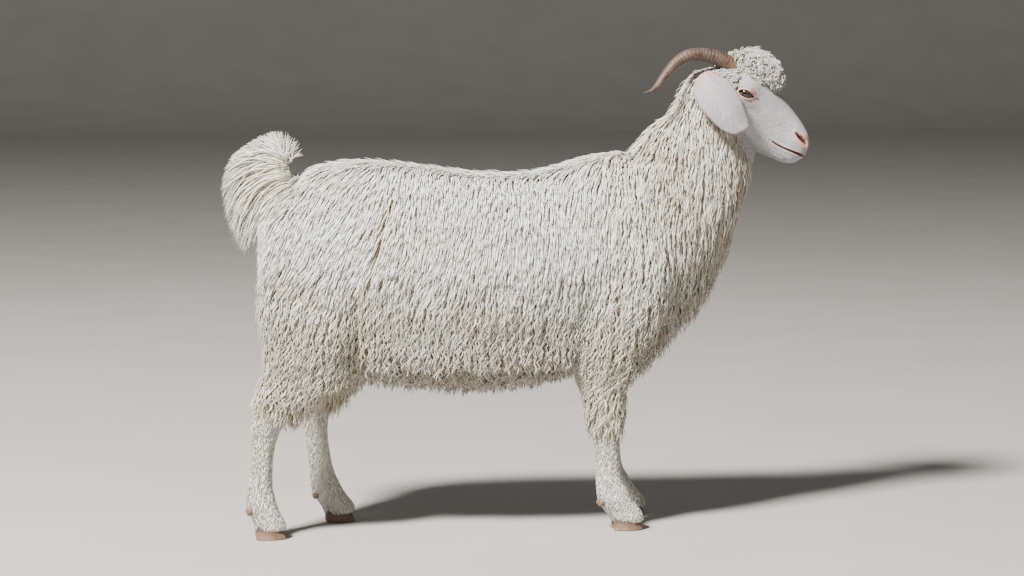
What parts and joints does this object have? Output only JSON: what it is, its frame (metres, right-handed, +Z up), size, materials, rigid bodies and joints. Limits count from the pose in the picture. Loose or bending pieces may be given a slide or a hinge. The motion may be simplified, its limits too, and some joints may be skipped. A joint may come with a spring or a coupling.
{
  "type": "angora goat",
  "caption": "Standing angora goat with swept-back horns, drooping ears, a raised plumed tail and a long wavy fleece.",
  "frame": {"origin": "middle of the whole goat's bounding box in X and Y, on the floor plane under its soles", "axes": "+X along the trunk towards the muzzle, +Y towards the goat's left side, +Z up"},
  "size_m": [0.9952, 0.3194, 0.8275],
  "materials": {
    "fleece": "soft mohair, slight lustre",
    "face": "short fine hair over skin",
    "horn": "ringed keratin, semi-matt",
    "claw": "worn keratin, matt",
    "eye": "wet gloss"
  },
  "bodies": {
    "root": {"torso": "fleece", "neck": "fleece", "tail": "fleece", "leg_fore_left": "fleece", "leg_fore_right": "fleece", "leg_hind_left": "fleece", "leg_hind_right": "fleece", "shank_fore_left": "fleece", "shank_fore_right": "fleece", "shank_hind_left": "fleece", "shank_hind_right": "fleece", "head": "face", "ear_left": "face", "ear_right": "face", "eye_left": "eye", "eye_right": "eye", "horn_left": "horn", "horn_right": "horn", "claw_fore_left_inner": "claw", "dewclaw_fore_left_inner": "claw", "claw_fore_left_outer": "claw", "dewclaw_fore_left_outer": "claw", "claw_fore_right_inner": "claw", "dewclaw_fore_right_inner": "claw", "claw_fore_right_outer": "claw", "dewclaw_fore_right_outer": "claw", "claw_hind_left_inner": "claw", "dewclaw_hind_left_inner": "claw", "claw_hind_left_outer": "claw", "dewclaw_hind_left_outer": "claw", "claw_hind_right_inner": "claw", "dewclaw_hind_right_inner": "claw", "claw_hind_right_outer": "claw", "dewclaw_hind_right_outer": "claw"}
  },
  "joints": []
}
